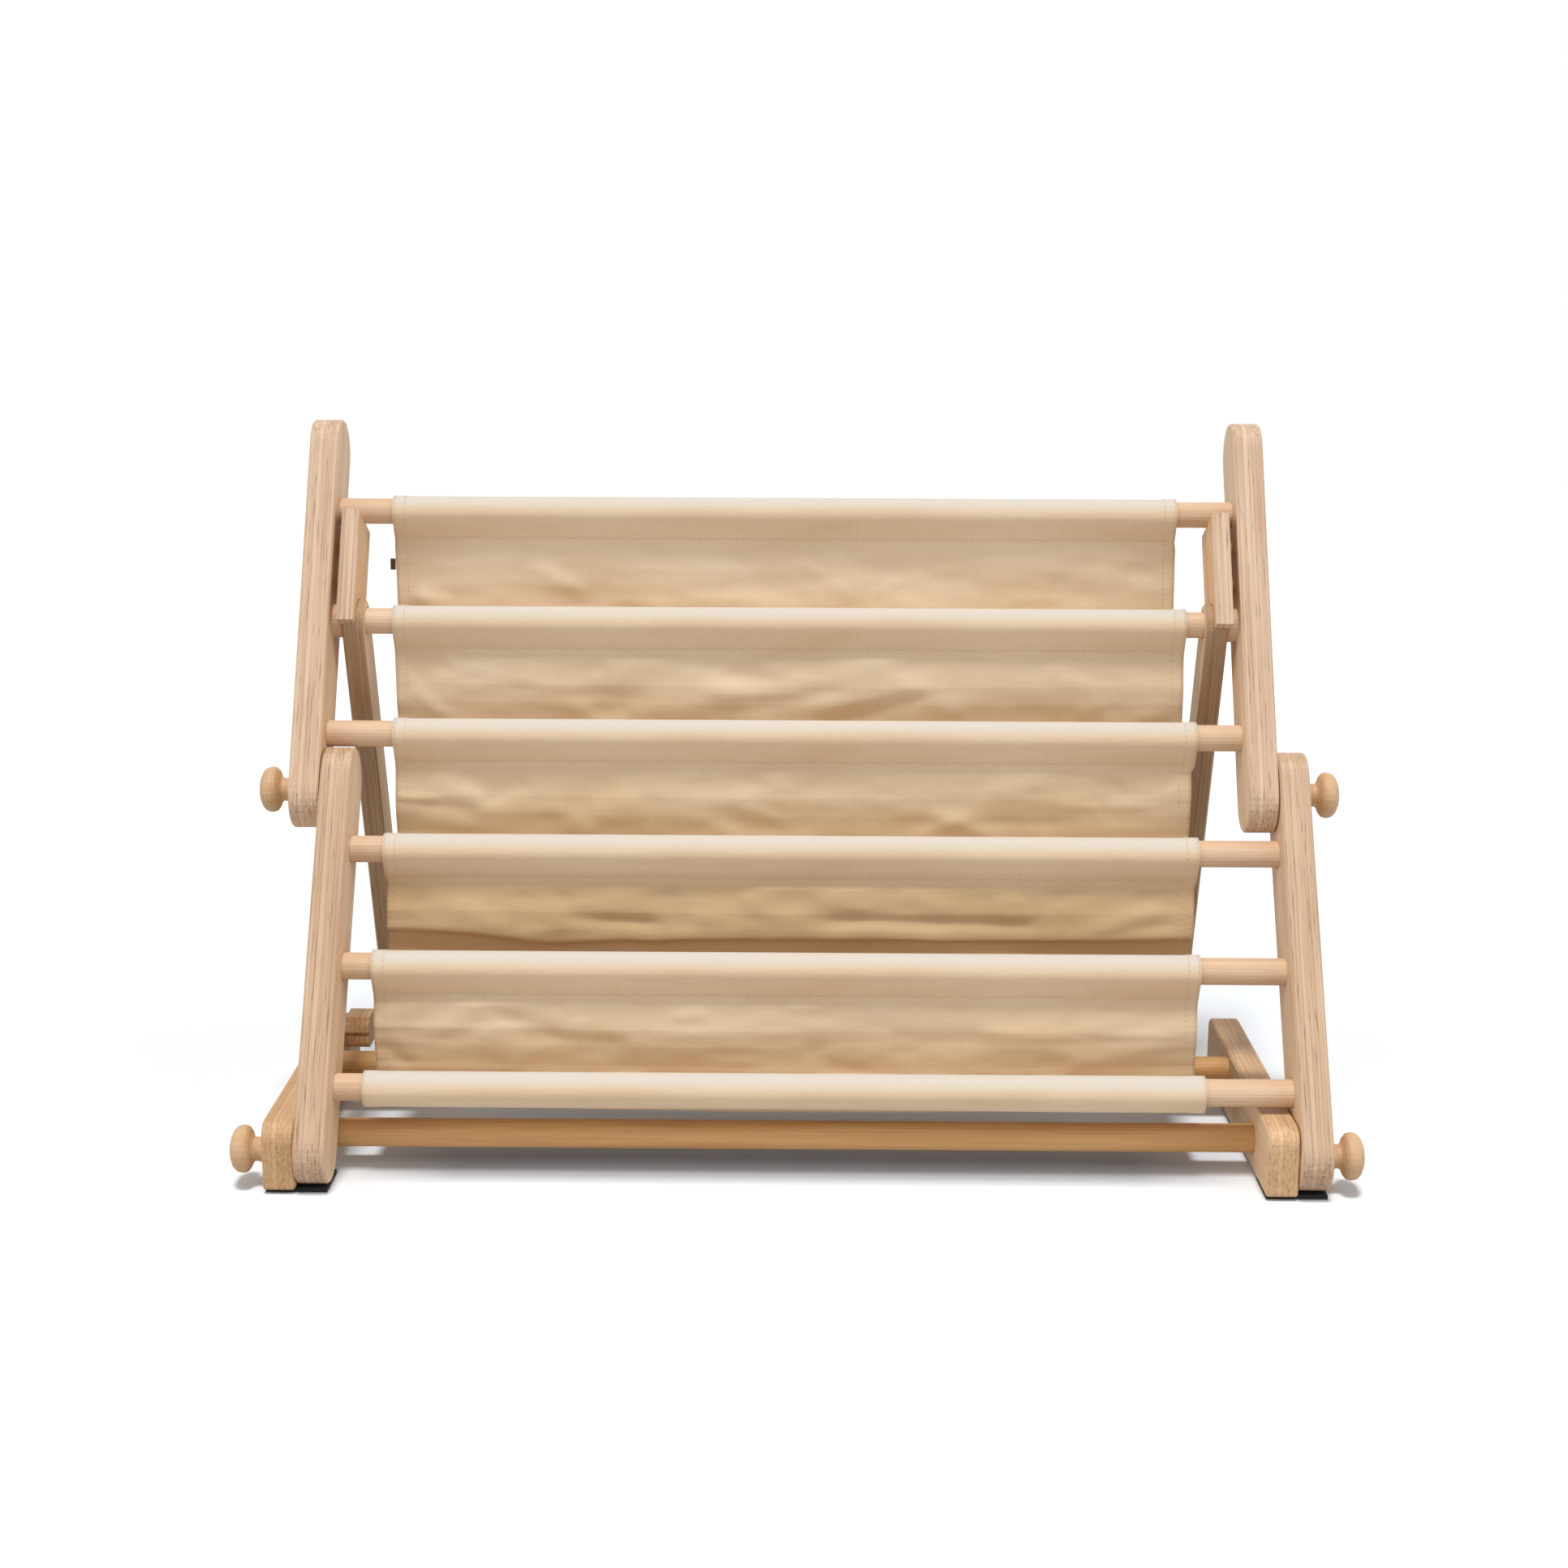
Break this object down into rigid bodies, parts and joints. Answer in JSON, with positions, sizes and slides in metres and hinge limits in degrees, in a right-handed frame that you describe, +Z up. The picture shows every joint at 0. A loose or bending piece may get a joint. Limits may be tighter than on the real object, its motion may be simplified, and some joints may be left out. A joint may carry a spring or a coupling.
{
  "type": "sling bookshelf",
  "caption": "Children's sling bookshelf: leaning plywood frame folding at clamped joints, canvas pockets hung on round rungs, swinging rear prop.",
  "frame": {"origin": "under the middle of the whole shelf, at floor level", "axes": "X runs across the shelf to the viewer's right, Y runs to the rear, Z is up; the pockets open upwards and face -Y"},
  "size_m": [0.651, 0.3032, 0.424],
  "materials": {
    "plywood": "clear matt lacquer on birch plywood",
    "dowel": "clear matt lacquer on turned hardwood rod",
    "knob": "satin turned beech",
    "canvas": "plain-woven unbleached cotton canvas",
    "rubber": "matt",
    "steel": "zinc plated",
    "tape": "woven tape, blank"
  },
  "bodies": {
    "base": {"base_leg_left": "plywood", "base_leg_right": "plywood", "base_crossbar_front": "dowel", "base_crossbar_rear": "dowel", "pad_front_left": "rubber", "pad_front_right": "rubber", "pad_rear_left": "rubber", "pad_rear_right": "rubber", "notched_block": "plywood", "base_right_stud": "steel", "base_right_washer": "steel"},
    "lower_frame": {"lower_leg_left": "plywood", "lower_leg_right": "plywood", "rung_4": "dowel", "rung_5": "dowel", "rung_6": "dowel", "sleeve_4": "canvas", "sleeve_5": "canvas", "sleeve_6": "canvas", "pocket_4": "canvas", "pocket_5": "canvas", "base_left_stud": "steel", "base_left_washer": "steel", "elbow_left_stud": "steel", "elbow_left_washer": "steel"},
    "upper_frame": {"upper_leg_left": "plywood", "upper_leg_right": "plywood", "rung_1": "dowel", "rung_2": "dowel", "rung_3": "dowel", "sleeve_1": "canvas", "sleeve_2": "canvas", "sleeve_3": "canvas", "pocket_1": "canvas", "pocket_2": "canvas", "pocket_3": "canvas", "seam_tag": "tape", "stop_plate_left": "plywood", "stop_plate_right": "plywood", "strut_spacer_left": "dowel", "strut_spacer_right": "dowel", "elbow_right_stud": "steel", "elbow_right_washer": "steel"},
    "prop": {"strut_left": "plywood", "strut_right": "plywood", "strut_crossbar": "dowel"},
    "knob_base_left": {"base_left_knob": "knob"},
    "knob_base_right": {"base_right_knob": "knob"},
    "knob_elbow_left": {"elbow_left_knob": "knob"},
    "knob_elbow_right": {"elbow_right_knob": "knob"}
  },
  "joints": [
    {"name": "lower_tilt", "type": "hinge", "parent": "base", "child": "lower_frame", "pos_m": [0, -0.13179, 0.0225], "axis": [1, 0, 0], "range_deg": [0, 50]},
    {"name": "elbow_fold", "type": "hinge", "parent": "lower_frame", "child": "upper_frame", "pos_m": [0, -0.01736, 0.20923], "axis": [1, 0, 0], "range_deg": [0, 122], "deforming": ["pocket_3"]},
    {"name": "prop_swing", "type": "hinge", "parent": "upper_frame", "child": "prop", "pos_m": [0, 0.03292, 0.30481], "axis": [-1, 0, 0], "range_deg": [0, 14]},
    {"name": "knob_turn_base_left", "type": "hinge", "parent": "lower_frame", "child": "knob_base_left", "pos_m": [0, -0.13179, 0.0225], "axis": [1, 0, 0], "continuous": true},
    {"name": "knob_turn_base_right", "type": "hinge", "parent": "base", "child": "knob_base_right", "pos_m": [0, -0.13179, 0.0225], "axis": [1, 0, 0], "continuous": true},
    {"name": "knob_turn_elbow_left", "type": "hinge", "parent": "lower_frame", "child": "knob_elbow_left", "pos_m": [0, -0.01736, 0.20923], "axis": [1, 0, 0], "continuous": true},
    {"name": "knob_turn_elbow_right", "type": "hinge", "parent": "upper_frame", "child": "knob_elbow_right", "pos_m": [0, -0.01736, 0.20923], "axis": [1, 0, 0], "continuous": true}
  ]
}
